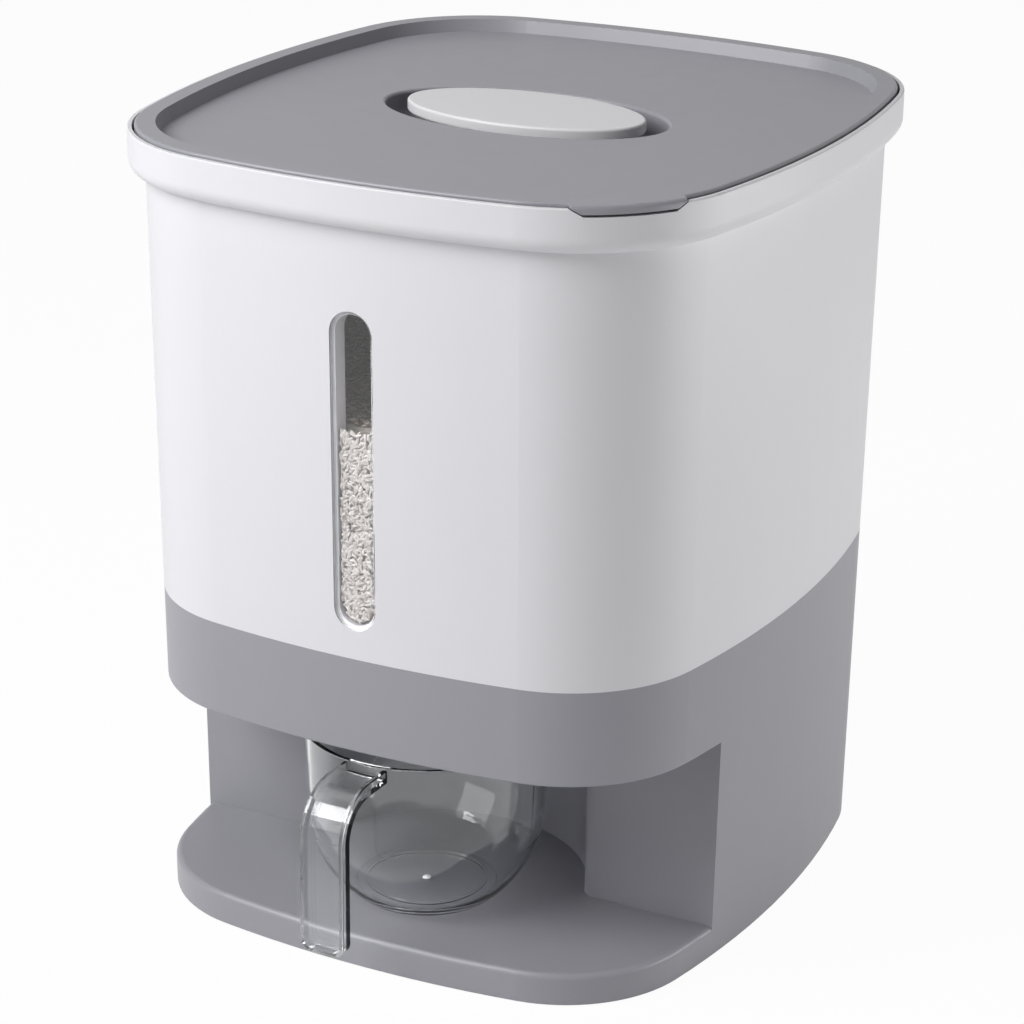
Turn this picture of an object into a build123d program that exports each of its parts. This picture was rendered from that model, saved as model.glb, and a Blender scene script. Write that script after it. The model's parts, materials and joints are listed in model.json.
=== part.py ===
from build123d import *
import math
import os

# Countertop rice dispenser: a tapered bin with a drop-in lid stands on a base with an open
# recess at the front, where a clear measuring cup waits under the outlet. Pushing the cup
# back moves a sprung sliding gate, and rice falls from the bin's hopper into the cup.
# Frame: origin on the surface it stands on, under the middle of the bin's outline.
# +X to the right seen from the front, -Y towards the front, +Z up. Millimetres.

# ---------------------------------------------------------------- driving dimensions

# Plan outline of the bin's rim: bowed sides and round corners
rim_half_width = 124.0
rim_half_depth = 134.5
side_bow_radius = 426.8
corner_radius = 63.3

# Heights above the standing surface
foot_proud = 0.4
plate_top_z = 13.0
skirt_bottom_z = 87.8
ceiling_rise = 2.2
seam_z = 124.3
rim_top_z = 300.3
rim_height = 16.3

# Body below the rim
rim_step = 6.2
side_draft = 0.0148
base_wall = 2.6
bin_wall = 2.4
rim_lower_rounding = 5.6
rim_top_rounding = 0.6
rim_lip_wall = 1.7

# Recess and niche in the base
recess_y = -54.5
niche_radius = 58.0
niche_offset = 6.0
niche_edge_rounding = 6.0
plate_edge_rounding = 2.2
skirt_edge_rounding = 0.9
base_foot_rounding = 0.8

# Joint between bin and base
spigot_depth = 8.0
spigot_clearance = 0.25
spigot_draft_allowance = 0.15
spigot_wall = 2.2
ledge_width = 9.0
ledge_thickness = 2.6
bin_post_radius = 4.5
bin_post_inset = 5.6
bin_post_hole_depth = 18.0
deck_thickness = 2.6

# Screws
screw_slack = 0.05
screw_hole_slack = 0.25
small_screw_radius = 1.45
small_screw_head_radius = 2.8
small_screw_head_height = 1.8
large_screw_radius = 1.9
large_screw_head_radius = 3.6
large_screw_head_height = 2.2
screw_cross_width = 0.8
screw_cross_depth = 1.0
screw_cross_share = 0.62
screw_head_rounding_share = 0.4
small_screw_bite = 6.0
large_screw_bite = 15.0

# Bottom cover and feet
cover_thickness = 2.0
cover_clearance = 0.3
cover_underside_z = 3.2
cover_boss_radius = 4.0
cover_boss_inset = 8.5
cover_boss_hole_depth = 8.4
cover_boss_overlap = 0.5
rear_boss_x = 48.0
foot_radius = 9.0
foot_pocket_depth = 0.6
foot_pocket_slack = 0.2
foot_inset = 24.0
foot_rounding = 0.5

# Hopper
outlet_half_width = 22.0
outlet_length = 12.0
outlet_y = -74.0
neck_height = 11.0
hopper_side_slope = 38.0
hopper_back_slope = 24.0
hopper_front_slope = 20.0
hopper_wall = 2.6
hopper_skirt = 2.0
hopper_clearance = 0.3
hopper_throat_slack = 0.4
hopper_block_drop = 60.0
hopper_void_reach = 6.0
neck_wall = 2.0
seal_thickness = 1.2

# Gate unit on the base's deck
guide_floor = 2.4
guide_side = 8.0
guide_front_margin = 7.0
guide_rear_wall = 4.0
gate_half_width = 30.0
gate_thickness = 3.0
gate_play = 0.2
gate_edge = 4.0
gate_travel = 13.0
gate_cover_thickness = 2.4
gate_cover_end_y = -40.0
gate_hole_skin = 0.6
gate_screw_tip_gap = 0.2
collar_height = 5.0
collar_wall = 2.0
spout_drop = 3.5
tongue_half_width = 8.0
tongue_thickness = 3.0
tongue_overlap = 19.0
tongue_tip_rounding = 4.0
tongue_side_clearance = 1.0
tongue_front_clearance = 0.8
tongue_back_clearance = 0.5
push_block_length = 9.6
push_block_height = 9.3
spring_offset_x = 20.0
spring_lift = 5.8
spring_length = 26.4
spring_wire = 0.7
spring_mean_radius = 2.45
spring_turns = 10
spring_end_gap = 0.15
pin_radius = 1.2
pin_running_clearance = 0.08
pin_reach = 8.0
pin_chamfer = 0.36
pin_wall_margin = 2.0

# Measuring cup
cup_skirt_gap = 6.8
cup_rim_rounding = 0.6
cup_floor_gap = 0.3
cup_wall = 1.8
cup_rim_radius = 46.3
cup_waist_inset = 1.3
cup_waist_z = 50.0
cup_lower_inset = 8.1
cup_lower_z = 25.5
cup_foot_inset = 18.3
cup_tongue_gap = 0.3
foot_ring_inset = 5.0
foot_ring_width = 1.2
foot_ring_height = 0.6
handle_width = 18.0
handle_proud = 16.7
handle_drop = 0.8
handle_bottom_z = 18.2
handle_bend_radius = 19.0
handle_web = 1.9
handle_flange_depth = 5.0
handle_flange = 1.6
handle_corner_radius = 4.5
handle_edge_rounding = 0.5

# Window
window_width = 17.0
window_sill = 5.7
window_head = 30.1
window_slack = 0.15
window_sink = 0.3
window_ledge = 1.4
window_collar_depth = 9.0
window_collar_wall = 2.0
lens_thickness = 2.2
lens_bevel = 0.5
gasket_thickness = 0.5
gasket_gap = 0.05

# Lid
lid_gap = 0.9
lid_proud = 1.2
lid_band_width = 7.6
lid_slope_width = 1.6
lid_panel_drop = 4.9
lid_thickness = 2.2
lid_skirt_wall = 2.0
lid_seal_height = 3.6
lid_edge_rounding = 1.1
lid_seal_width = 5.6
well_half_length = 56.5
well_half_depth = 32.5
well_depth = 12.0
well_floor_rounding = 7.0
well_edge_rounding = 1.2
tab_half_length = 20.0
tab_shift = -0.6
tab_end_slope = 3.2
tab_corner_rounding = 1.2
tab_edge_rounding = 1.6
tab_height = 3.1
tab_slack = 0.9
tab_notch_inset = 3.0

# Grip on the lid
grip_half_length = 47.9
grip_half_depth = 25.7
grip_proud = 1.5
grip_thickness = 4.5
grip_rounding = 1.0
grip_stem_half_length = 22.0
grip_stem_half_depth = 11.0
grip_screw_offset = 12.0
grip_screw_depth = 8.0

# ---------------------------------------------------------------- derived places

# Cutting shapes reach this far past the faces that they cut.
overcut = 1.0

base_bottom_z = foot_proud
ceiling_z = skirt_bottom_z + ceiling_rise
rim_bottom_z = rim_top_z - rim_height
deck_top_z = ceiling_z + deck_thickness
ledge_top_z = seam_z + ledge_thickness
cup_y = outlet_y
cup_floor_z = plate_top_z + cup_floor_gap
handle_front_y = -rim_half_depth - handle_proud
cup_rim_z = skirt_bottom_z - cup_skirt_gap
handle_top_z = cup_rim_z - handle_drop
handle_bend_y = handle_front_y + handle_bend_radius
handle_bend_z = handle_top_z - handle_bend_radius
cup_waist_radius = cup_rim_radius - cup_waist_inset
cup_lower_radius = cup_rim_radius - cup_lower_inset
cup_foot_radius = cup_rim_radius - cup_foot_inset
foot_ring_radius = cup_foot_radius - foot_ring_inset
niche_y = outlet_y + niche_offset
tongue_bottom_z = cup_rim_z - tongue_overlap
outlet_front_y = outlet_y - outlet_length / 2
outlet_back_y = outlet_y + outlet_length / 2
tongue_front_y = cup_y + cup_rim_radius + cup_tongue_gap
tongue_back_y = tongue_front_y + tongue_thickness
guide_floor_z = deck_top_z + guide_floor
gate_bottom_z = guide_floor_z + gate_play
gate_top_z = gate_bottom_z + gate_thickness
gate_cover_z = gate_top_z + gate_play
gate_cover_top_z = gate_cover_z + gate_cover_thickness
neck_bottom_z = gate_cover_top_z + seal_thickness
gate_hole_front_y = outlet_front_y - gate_travel
gate_hole_back_y = outlet_back_y - gate_travel
gate_front_y = gate_hole_front_y - gate_edge
channel_half_width = gate_half_width + gate_play
guide_half_width = channel_half_width + guide_side
guide_front_y = gate_front_y - guide_front_margin
spring_seat_y = tongue_back_y + spring_length
guide_back_y = spring_seat_y + guide_rear_wall
spring_z = gate_bottom_z + spring_lift
hopper_throat_z = neck_bottom_z + neck_height
# The window starts a sill above the place where the hopper meets the front wall.
hopper_front_reach = rim_half_depth - rim_step - bin_wall - hopper_clearance + outlet_front_y
hopper_front_rise = hopper_front_reach * math.tan(math.radians(hopper_front_slope))
hopper_front_z = hopper_throat_z + hopper_front_rise
window_bottom_z = hopper_front_z + window_sill
window_top_z = rim_bottom_z - window_head
lid_top_z = rim_top_z + lid_proud
lid_panel_z = lid_top_z - lid_panel_drop
lid_seal_z = rim_bottom_z + bin_wall
lid_skirt_bottom_z = lid_seal_z + lid_seal_height
tab_bottom_z = lid_top_z - tab_height


# ---------------------------------------------------------------- shared shapes

def block(x0, x1, y0, y1, z0, z1):
    """Box between two corners."""
    middle = Pos((x0 + x1) / 2, (y0 + y1) / 2, (z0 + z1) / 2)
    return middle * Box(x1 - x0, y1 - y0, z1 - z0)


def post(x, y, z0, z1, radius):
    """Upright cylinder between two heights."""
    return Pos(x, y, (z0 + z1) / 2) * Cylinder(radius, z1 - z0)


def body_inset(z):
    """How far the body's outer face lies inside the rim's outline at a height."""
    return rim_step + side_draft * (rim_bottom_z - z)


def corner_centre():
    """Centre of a corner arc, where it runs smoothly into both bowed sides."""
    reach = side_bow_radius - corner_radius
    shift_x = side_bow_radius - rim_half_width
    shift_y = side_bow_radius - rim_half_depth
    # The centre lies at the same distance from the centres of both bowed sides.
    offset = (shift_x**2 - shift_y**2) / (2 * shift_y)
    ratio = shift_x / shift_y
    a = 1 + ratio**2
    b = 2 * ratio * (offset + shift_y)
    c = (offset + shift_y) ** 2 - reach**2
    x = (-b + math.sqrt(b * b - 4 * a * c)) / (2 * a)
    return x, ratio * x + offset


def outline(inset, z):
    """Flat face of the rim's outline, drawn in by an inset, at a height."""
    cx, cy = corner_centre()
    radius = corner_radius - inset
    end_angle = math.atan2(cy + side_bow_radius - rim_half_depth, cx)
    start_angle = math.atan2(cy, cx + side_bow_radius - rim_half_width)

    def on_corner(angle):
        return cx + radius * math.cos(angle), cy + radius * math.sin(angle)

    start, end = on_corner(start_angle), on_corner(end_angle)
    middle = on_corner((start_angle + end_angle) / 2)
    side_x, side_y = rim_half_width - inset, rim_half_depth - inset
    arcs = []
    for sx, sy in ((1, 1), (-1, 1), (-1, -1), (1, -1)):
        corner = [(sx * px, sy * py, z) for px, py in (start, middle, end)]
        arcs.append(ThreePointArc(*corner))
    for sx in (1, -1):
        x = sx * start[0]
        arcs.append(ThreePointArc((x, -start[1], z), (sx * side_x, 0, z), (x, start[1], z)))
    for sy in (1, -1):
        y = sy * end[1]
        arcs.append(ThreePointArc((-end[0], y, z), (0, sy * side_y, z), (end[0], y, z)))
    return make_face(arcs)


def straight_block(inset, z0, z1):
    """Upright solid on the rim's outline."""
    return extrude(outline(inset, z0), amount=z1 - z0, dir=(0, 0, 1))


def body_block(wall, z0, z1):
    """Drafted solid that follows the body, drawn in by a wall."""
    faces = [outline(body_inset(z) + wall, z) for z in (z0, z1)]
    return loft(faces, ruled=True)


def corner_point(inset, sx, sy):
    """Point on a corner's diagonal, an inset inside the rim's outline."""
    cx, cy = corner_centre()
    reach = (corner_radius - inset) * math.sin(math.radians(45))
    return sx * (cx + reach), sy * (cy + reach)


def rear_side_y(inset, x):
    """Place of the bowed rear side at x, an inset inside the rim's outline."""
    centre_y = rim_half_depth - side_bow_radius
    return centre_y + math.sqrt((side_bow_radius - inset) ** 2 - x * x)


def screw(x, y, seat_z, length, radius, head_radius, head_height, up):
    """Pan-head screw: head on its seat, shank towards up (+1) or down (-1)."""
    tip_z = seat_z + up * length
    shank = post(x, y, min(seat_z, tip_z), max(seat_z, tip_z), radius)
    head_end = seat_z - up * head_height
    head = post(x, y, min(seat_z, head_end), max(seat_z, head_end), head_radius)
    rim = head.edges().filter_by(GeomType.CIRCLE).sort_by(Axis.Z)[0 if up > 0 else -1]
    head = fillet(rim, head_height * screw_head_rounding_share)
    arm = head_radius * screw_cross_share
    low = min(head_end, head_end + up * screw_cross_depth)
    high = max(head_end, head_end + up * screw_cross_depth)
    half = screw_cross_width / 2
    cross = block(x - arm, x + arm, y - half, y + half, low, high)
    cross += block(x - half, x + half, y - arm, y + arm, low, high)
    return shank + head - cross


def small_screw(x, y, seat_z, length, up):
    """Screw of the gate unit, the grip and the bottom cover."""
    return screw(x, y, seat_z, length, small_screw_radius, small_screw_head_radius,
                 small_screw_head_height, up)


def large_screw(x, y, seat_z, length, up):
    """Screw that holds the bin on the base."""
    return screw(x, y, seat_z, length, large_screw_radius, large_screw_head_radius,
                 large_screw_head_height, up)


# ---------------------------------------------------------------- places of the fasteners

diagonals = [(sx, sy) for sx in (-1, 1) for sy in (-1, 1)]
bin_posts = [
    corner_point(body_inset(seam_z) + base_wall + bin_post_inset, sx, sy) for sx, sy in diagonals
]
cover_boss_depth = body_inset(base_bottom_z) + base_wall + cover_boss_inset
cover_bosses = [corner_point(cover_boss_depth, sx, -1) for sx in (-1, 1)]
cover_bosses += [(sx * rear_boss_x, rear_side_y(cover_boss_depth, rear_boss_x)) for sx in (-1, 1)]
gate_screw_x = channel_half_width + guide_side / 2
gate_screws_at = [
    (sx * gate_screw_x, y)
    for sx in (-1, 1)
    for y in (guide_front_y + guide_side / 2, gate_cover_end_y - guide_side / 2)
]


# ---------------------------------------------------------------- base

def recess_plan(grow, z):
    """Plan of the recess with its round niche, grown by a wall."""
    reach = 2 * rim_half_depth
    plan = Pos(0, recess_y + grow - reach / 2) * Rectangle(2 * reach, reach)
    plan += Pos(0, niche_y) * Circle(niche_radius + grow)
    # Only the two corners where the niche meets the wall are inside the plan's width.
    inner = [v for v in plan.vertices() if abs(v.X) < reach / 2 and v.Y > recess_y + grow - 1]
    plan = fillet(inner, niche_edge_rounding - grow)
    return Pos(0, 0, z) * plan


def recess_block(grow, z0, z1):
    return extrude(recess_plan(grow, z0), amount=z1 - z0, dir=(0, 0, 1))


def recess_outer_edges(base, z):
    """Edges of the body's outside where the recess cuts it at a height."""
    niche_centre = Vector(0, niche_y, z)
    return [
        e for e in base.edges().filter_by(Plane.XY)
        if abs(e.center().Z - z) < 0.01 and e.length > niche_edge_rounding * 3
        and abs((e @ 0.5).Y - recess_y) > 0.1
        and (e @ 0.5 - niche_centre).length > niche_radius + overcut
    ]


def cover_boss_top(y):
    """Underside that a bottom cover boss hangs from: the plate in front, the deck behind."""
    return plate_top_z - base_wall if y < recess_y else ceiling_z


def make_base_stand():
    base = body_block(0, base_bottom_z, seam_z)
    foot_edges = base.edges().group_by(Axis.Z)[0]
    base = fillet(foot_edges, base_foot_rounding)
    # Front recess: open to the front below the skirt, and up to the ceiling inside it.
    base -= recess_block(0, plate_top_z, skirt_bottom_z)
    base = fillet(recess_outer_edges(base, plate_top_z), plate_edge_rounding)
    base = fillet(recess_outer_edges(base, skirt_bottom_z), skirt_edge_rounding)
    base -= recess_block(0, skirt_bottom_z - overcut, ceiling_z) & body_block(
        base_wall, skirt_bottom_z - overcut, ceiling_z)
    # Hollow from below, behind the recess wall and under the plate.
    hollow = body_block(base_wall, base_bottom_z - overcut, ceiling_z)
    hollow -= recess_block(base_wall, plate_top_z - base_wall, ceiling_z + overcut)
    base -= hollow
    # Open well above the deck for the gate unit and the bin's spigot.
    base -= body_block(base_wall, deck_top_z, seam_z + overcut)
    for x, y in cover_bosses:
        base += post(x, y, cover_underside_z + cover_thickness,
                     cover_boss_top(y) + cover_boss_overlap, cover_boss_radius)
        base -= post(x, y, cover_underside_z, cover_underside_z + cover_boss_hole_depth,
                     small_screw_radius + screw_slack)
    for x, y in bin_posts:
        base -= post(x, y, ceiling_z - overcut, deck_top_z + overcut,
                     large_screw_radius + screw_hole_slack)
    # Outlet spout, tongue slot and gate screw holes through the deck.
    spout_x = outlet_half_width + neck_wall + spigot_clearance
    spout_y = outlet_length / 2 + neck_wall + spigot_clearance
    base -= block(-spout_x, spout_x, outlet_y - spout_y, outlet_y + spout_y,
                  ceiling_z - overcut, deck_top_z + overcut)
    base -= tongue_slot(ceiling_z - overcut, deck_top_z + overcut)
    for x, y in gate_screws_at:
        base -= post(x, y, ceiling_z + gate_hole_skin, deck_top_z + overcut,
                     small_screw_radius + screw_slack)
    return base


def tongue_slot(z0, z1):
    side = tongue_half_width + tongue_side_clearance
    return block(-side, side, tongue_front_y - tongue_front_clearance,
                 tongue_back_y + gate_travel + tongue_back_clearance, z0, z1)


def make_bottom_cover():
    inset = body_inset(cover_underside_z) + base_wall + cover_clearance
    cover = straight_block(inset, cover_underside_z, cover_underside_z + cover_thickness)
    for x, y in cover_bosses:
        cover -= post(x, y, cover_underside_z - overcut, cover_underside_z + cover_thickness + overcut,
                      small_screw_radius + screw_hole_slack)
    for x, y in foot_places():
        cover -= post(x, y, cover_underside_z - overcut, cover_underside_z + foot_pocket_depth,
                      foot_radius + foot_pocket_slack)
    return cover


def foot_places():
    inset = body_inset(base_bottom_z) + foot_inset
    return [corner_point(inset, sx, sy) for sx, sy in diagonals]


def make_foot(x, y):
    foot = post(x, y, 0, cover_underside_z + foot_pocket_depth, foot_radius)
    return fillet(foot.edges().sort_by(Axis.Z)[0], foot_rounding)


def make_cover_screws():
    return [
        small_screw(x, y, cover_underside_z, cover_thickness + small_screw_bite, 1)
        for x, y in cover_bosses
    ]


# ---------------------------------------------------------------- bin

def window_prism(grow, y0, y1):
    """Upright slot with round ends, cut along Y."""
    half = window_width / 2 + grow
    height = window_top_z - window_bottom_z + 2 * grow
    middle_z = (window_top_z + window_bottom_z) / 2
    plane = Plane(origin=(0, y0, middle_z), x_dir=(1, 0, 0), z_dir=(0, 1, 0))
    slot = plane * (Rectangle(2 * half, height - 2 * half)
                    + Pos(0, (height / 2 - half)) * Circle(half)
                    + Pos(0, -(height / 2 - half)) * Circle(half))
    return extrude(slot, amount=y1 - y0, dir=(0, 1, 0))


def tab_prism(slack, z_top):
    """Trapezoid across the front right corner, in which the lid's lift tab lies."""
    cx, cy = corner_centre()
    low = tab_bottom_z - slack
    top_half = tab_half_length + slack
    bottom_half = top_half - tab_end_slope * (rim_top_z - low) / (rim_top_z - tab_bottom_z)
    plane = Plane(origin=(cx, -cy, 0), x_dir=(1, 1, 0), z_dir=(1, -1, 0))
    # On this plane, local x runs along the corner and local y points up.
    rise = plane.y_dir.Z
    face = make_face(Polyline(
        (tab_shift - bottom_half, rise * low), (tab_shift + bottom_half, rise * low),
        (tab_shift + top_half, rise * rim_top_z), (tab_shift + top_half, rise * z_top),
        (tab_shift - top_half, rise * z_top), (tab_shift - top_half, rise * rim_top_z),
        close=True))
    bottom_corners = [v for v in face.vertices() if abs(v.Y - rise * low) < 0.01]
    face = fillet(bottom_corners, tab_corner_rounding)
    return extrude(plane * face, amount=corner_radius + tab_half_length, dir=(1, -1, 0))


def make_bin_shell():
    rim = straight_block(0, rim_bottom_z, rim_top_z)
    rim = fillet(rim.edges().group_by(Axis.Z)[0], rim_lower_rounding)
    rim = fillet(rim.edges().group_by(Axis.Z)[-1], rim_top_rounding)
    shell = body_block(0, seam_z, rim_bottom_z + overcut) + rim
    shell -= body_block(bin_wall, ledge_top_z, rim_bottom_z + bin_wall + overcut)
    shell -= straight_block(rim_lip_wall, rim_bottom_z + bin_wall, rim_top_z + overcut)
    ledge_inset = body_inset(seam_z) + ledge_width
    shell -= straight_block(ledge_inset, seam_z - overcut, ledge_top_z + overcut)
    # Spigot that drops inside the base's wall.
    outer = body_inset(seam_z) + base_wall + spigot_clearance
    spigot_bottom_z = seam_z - spigot_depth
    spigot = straight_block(outer + spigot_draft_allowance, spigot_bottom_z, seam_z + overcut)
    spigot -= straight_block(outer + spigot_wall, spigot_bottom_z - overcut, seam_z + 2 * overcut)
    shell += spigot
    for x, y in bin_posts:
        shell += post(x, y, deck_top_z, ledge_top_z, bin_post_radius)
        shell -= post(x, y, deck_top_z - overcut, deck_top_z + bin_post_hole_depth,
                      large_screw_radius + screw_slack)
    # Window seat: a collar inside the wall, a pocket for the lens, and the opening behind it.
    shell += lens_layer(bin_wall / 2, window_collar_depth, window_collar_wall)
    shell -= lens_layer(-overcut, window_sink + lens_thickness + gasket_thickness, 0)
    shell -= window_prism(-window_ledge, -2 * rim_half_depth, 0)
    notch_top_z = rim_top_z + rim_height
    shell -= tab_prism(tab_slack, notch_top_z) - straight_block(
        rim_lip_wall + tab_notch_inset, rim_bottom_z, notch_top_z + overcut)
    return shell


def make_bin_screws():
    return [
        large_screw(x, y, ceiling_z, deck_thickness + large_screw_bite, 1) for x, y in bin_posts
    ]


def lens_layer(outer, inner, grow):
    """Slice of the front wall between two depths, inside the window's outline."""
    low, high = window_bottom_z - window_width, window_top_z + window_width
    layer = body_block(outer, low, high) - body_block(inner, low, high)
    return layer & window_prism(grow, -2 * rim_half_depth, -rim_half_depth / 2)


def make_window_lens():
    lens = lens_layer(window_sink, window_sink + lens_thickness, -window_slack)
    front = lens.faces().sort_by(Axis.Y)[0]
    return chamfer(front.edges(), lens_bevel)


def make_window_gasket():
    lens_back = window_sink + lens_thickness
    ring = lens_layer(lens_back + gasket_gap, lens_back + gasket_thickness - gasket_gap,
                      -window_slack)
    return ring - window_prism(-window_ledge, -2 * rim_half_depth, 0)


# ---------------------------------------------------------------- hopper

def hopper_void(drop):
    """Space between the four slopes, lowered by a drop to get their undersides."""
    z = hopper_throat_z - drop
    top = rim_top_z + hopper_block_drop
    far_x, far_y = rim_half_width + hopper_void_reach, rim_half_depth + hopper_void_reach
    side_z = z + (far_x - outlet_half_width) * math.tan(math.radians(hopper_side_slope))
    back_z = z + (far_y - outlet_back_y) * math.tan(math.radians(hopper_back_slope))
    front_z = z + (far_y + outlet_front_y) * math.tan(math.radians(hopper_front_slope))
    across = make_face(Polyline(
        (-outlet_half_width, 0, z), (outlet_half_width, 0, z), (far_x, 0, side_z),
        (far_x, 0, top), (-far_x, 0, top), (-far_x, 0, side_z), close=True))
    along = make_face(Polyline(
        (0, outlet_front_y, z), (0, outlet_back_y, z), (0, far_y, back_z),
        (0, far_y, top), (0, -far_y, top), (0, -far_y, front_z), close=True))
    across = extrude(across, amount=2 * far_y, dir=(0, 1, 0), both=True)
    along = extrude(along, amount=2 * far_x, dir=(1, 0, 0), both=True)
    return across & along


def make_hopper_funnel():
    top_z = rim_bottom_z - hopper_block_drop
    low_z = hopper_throat_z - hopper_wall
    wall = bin_wall + hopper_clearance
    throat_inset = body_inset(seam_z) + ledge_width + hopper_throat_slack
    throat = straight_block(throat_inset, low_z, ledge_top_z)
    funnel = body_block(wall, ledge_top_z, top_z) + throat
    under = body_block(wall + hopper_skirt, ledge_top_z, top_z) + throat
    funnel -= hopper_void(0)
    funnel -= under - hopper_void(hopper_wall)
    neck_x = outlet_half_width + neck_wall
    neck_y = outlet_length / 2 + neck_wall
    funnel += block(-neck_x, neck_x, outlet_y - neck_y, outlet_y + neck_y,
                    neck_bottom_z, hopper_throat_z)
    funnel -= block(-outlet_half_width, outlet_half_width, outlet_front_y, outlet_back_y,
                    neck_bottom_z - overcut, hopper_throat_z + overcut)
    return funnel


# ---------------------------------------------------------------- gate unit

def make_outlet_seal():
    x, y = outlet_half_width + neck_wall, outlet_length / 2 + neck_wall
    seal = block(-x, x, outlet_y - y, outlet_y + y, gate_cover_top_z, neck_bottom_z)
    return seal - block(-outlet_half_width, outlet_half_width, outlet_front_y, outlet_back_y,
                        gate_cover_top_z - overcut, neck_bottom_z + overcut)


def make_gate_guide():
    guide = block(-guide_half_width, guide_half_width, guide_front_y, guide_back_y,
                  deck_top_z, gate_cover_z)
    guide -= block(-channel_half_width, channel_half_width, gate_front_y - gate_play,
                   spring_seat_y, guide_floor_z, gate_cover_z + overcut)
    # Rear wall that carries the two spring pins.
    guide += block(-channel_half_width, channel_half_width, spring_seat_y, guide_back_y,
                   deck_top_z, spring_z + spring_mean_radius + pin_wall_margin)
    for sx in (-1, 1):
        bore = Pos(sx * spring_offset_x, spring_seat_y, spring_z) * Rot(90, 0, 0)
        guide -= bore * Cylinder(pin_radius + screw_slack / 2, 2 * (guide_rear_wall + overcut))
    spout_x = outlet_half_width + neck_wall
    spout_y = outlet_length / 2 + neck_wall
    guide += block(-spout_x, spout_x, outlet_y - spout_y, outlet_y + spout_y,
                   ceiling_z - spout_drop, deck_top_z)
    guide -= block(-outlet_half_width, outlet_half_width, outlet_front_y, outlet_back_y,
                   ceiling_z - spout_drop - overcut, guide_floor_z + overcut)
    guide -= tongue_slot(deck_top_z - overcut, guide_floor_z + overcut)
    for x, y in gate_screws_at:
        guide -= post(x, y, deck_top_z - overcut, gate_cover_z + overcut,
                      small_screw_radius + screw_hole_slack)
    return guide


def make_gate_cover():
    cover = block(-guide_half_width, guide_half_width, guide_front_y, gate_cover_end_y,
                  gate_cover_z, gate_cover_top_z)
    x = outlet_half_width + neck_wall + spigot_clearance
    y = outlet_length / 2 + neck_wall + spigot_clearance
    collar = block(-x - collar_wall, x + collar_wall, outlet_y - y - collar_wall,
                   outlet_y + y + collar_wall, gate_cover_top_z, gate_cover_top_z + collar_height)
    collar -= block(-x, x, outlet_y - y, outlet_y + y, gate_cover_top_z - overcut,
                    gate_cover_top_z + collar_height + overcut)
    cover += collar
    cover -= block(-outlet_half_width, outlet_half_width, outlet_front_y, outlet_back_y,
                   gate_cover_z - overcut, gate_cover_top_z + overcut)
    for sx, sy in gate_screws_at:
        cover -= post(sx, sy, gate_cover_z - overcut, gate_cover_top_z + overcut,
                      small_screw_radius + screw_hole_slack)
    return cover


def make_gate_screws():
    length = gate_cover_top_z - ceiling_z - gate_hole_skin - gate_screw_tip_gap
    return [small_screw(x, y, gate_cover_top_z, length, -1) for x, y in gate_screws_at]


def make_gate_plate():
    plate = block(-gate_half_width, gate_half_width, gate_front_y, tongue_back_y,
                  gate_bottom_z, gate_top_z)
    plate -= block(-outlet_half_width, outlet_half_width, gate_hole_front_y, gate_hole_back_y,
                   gate_bottom_z - overcut, gate_top_z + overcut)
    plate += block(-gate_half_width, gate_half_width, tongue_back_y - push_block_length,
                   tongue_back_y, gate_bottom_z, gate_bottom_z + push_block_height)
    tongue = block(-tongue_half_width, tongue_half_width, tongue_front_y, tongue_back_y,
                   tongue_bottom_z, gate_bottom_z + overcut)
    tip = tongue.edges().filter_by(Axis.Y).group_by(Axis.Z)[0]
    plate += fillet(tip, tongue_tip_rounding)
    for sx in (-1, 1):
        bore = Pos(sx * spring_offset_x, tongue_back_y, spring_z) * Rot(90, 0, 0)
        plate -= bore * Cylinder(pin_radius + pin_running_clearance, 2 * (push_block_length + overcut))
    return plate


def make_gate_pin(sx):
    start = tongue_back_y - pin_reach
    length = guide_back_y - start
    pin = Cylinder(pin_radius, length)
    pin = chamfer(pin.edges(), pin_chamfer)
    return Pos(sx * spring_offset_x, start + length / 2, spring_z) * Rot(90, 0, 0) * pin


def make_gate_spring(sx):
    end = spring_wire / 2 + spring_end_gap
    height = spring_length - 2 * end
    path = Helix(pitch=height / spring_turns, height=height, radius=spring_mean_radius)
    section = Plane(origin=path @ 0, z_dir=path % 0) * Circle(spring_wire / 2)
    coil = sweep(section, path=path)
    # The helix climbs along +Z, and turning it about X lays it along +Y.
    return Pos(sx * spring_offset_x, tongue_back_y + end, spring_z) * Rot(-90, 0, 0) * coil


# ---------------------------------------------------------------- measuring cup

def bowl(inner):
    """Solid of revolution of the bowl's outside, or of its inside."""
    wall = cup_wall if inner else 0.0
    top = cup_rim_z + overcut if inner else cup_rim_z
    floor = cup_floor_z + wall
    profile = [
        Line((0, floor), (cup_foot_radius - wall * 0.6, floor)),
        ThreePointArc((cup_foot_radius - wall * 0.6, floor),
                      (cup_lower_radius - wall * 0.9, cup_lower_z + wall * 0.3),
                      (cup_waist_radius - wall, cup_waist_z)),
        Line((cup_waist_radius - wall, cup_waist_z), (cup_rim_radius - wall, cup_rim_z)),
    ]
    if inner:
        profile.append(Line((cup_rim_radius - wall, cup_rim_z), (cup_rim_radius - wall, top)))
    profile.append(Line((cup_rim_radius - wall, top), (0, top)))
    profile.append(Line((0, top), (0, floor)))
    face = Plane.XZ * make_face(profile)
    return Pos(0, cup_y, 0) * revolve(face, axis=Axis.Z)


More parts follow.
